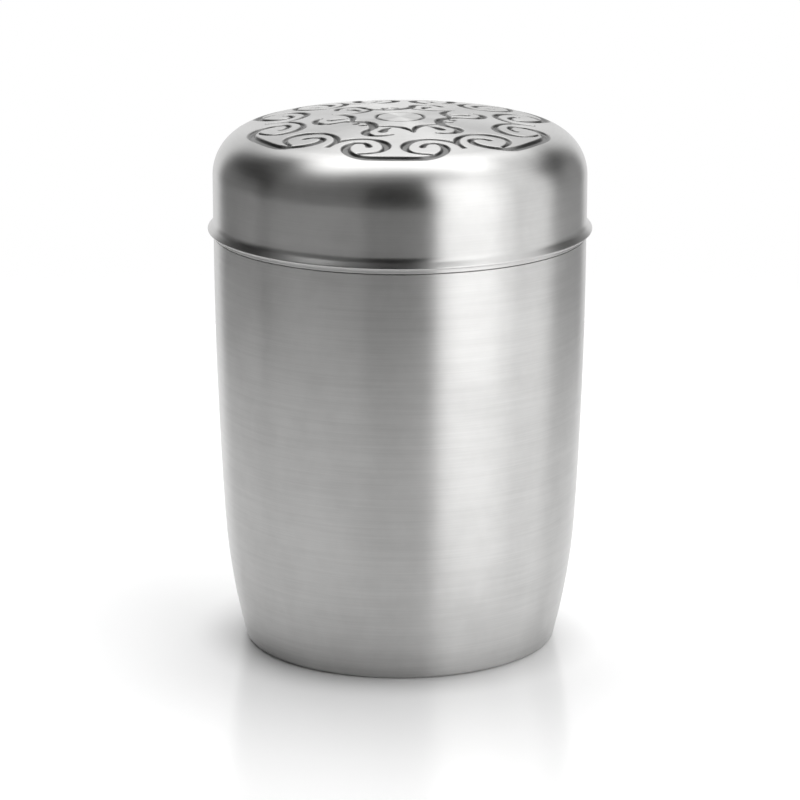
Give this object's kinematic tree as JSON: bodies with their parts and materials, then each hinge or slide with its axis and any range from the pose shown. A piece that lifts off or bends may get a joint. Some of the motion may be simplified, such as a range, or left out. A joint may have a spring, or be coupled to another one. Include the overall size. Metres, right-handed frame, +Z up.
{
  "type": "spice tin",
  "caption": "Round brushed-steel storage tin: tapered body on a standing ring, domed slip-over lid with scrolls and a beaded edge, and a sealed push-in inner lid.",
  "frame": {"origin": "centre of the standing ring's underside, at the height the tin stands on", "axes": "+Z up the tin's axis of revolution; -Y is the side the scroll pattern's first motif faces"},
  "size_m": [0.0881, 0.088, 0.1223],
  "materials": {
    "body_steel": "brushed round the body, satin",
    "base_steel": "matt pressed sheet",
    "collar_steel": "brushed round, satin",
    "lid_steel": "brushed round the skirt, scroll grooves darkened",
    "pan_steel": "turned satin",
    "seal_silicone": "translucent white silicone",
    "knob_steel": "turned and lightly polished",
    "fastener_steel": "bright plated"
  },
  "bodies": {
    "tin": {"body_shell": "body_steel", "base_disc": "base_steel", "neck_collar": "collar_steel"},
    "lid": {"lid_shell": "lid_steel"},
    "inner_lid": {"inner_lid": "pan_steel", "inner_lid_seal": "seal_silicone", "inner_lid_knob": "knob_steel", "knob_washer": "fastener_steel", "knob_screw": "fastener_steel"}
  },
  "joints": [
    {"name": "lid_lift", "type": "slide", "parent": "tin", "child": "lid", "axis": [0, 0, 1], "range_m": [0, 0.06]},
    {"name": "inner_lid_lift", "type": "slide", "parent": "tin", "child": "inner_lid", "axis": [0, 0, 1], "range_m": [0, 0.024]}
  ],
  "couplings": [
    {"joint": "inner_lid_lift", "follows": "lid_lift", "ratio": 0.4}
  ]
}
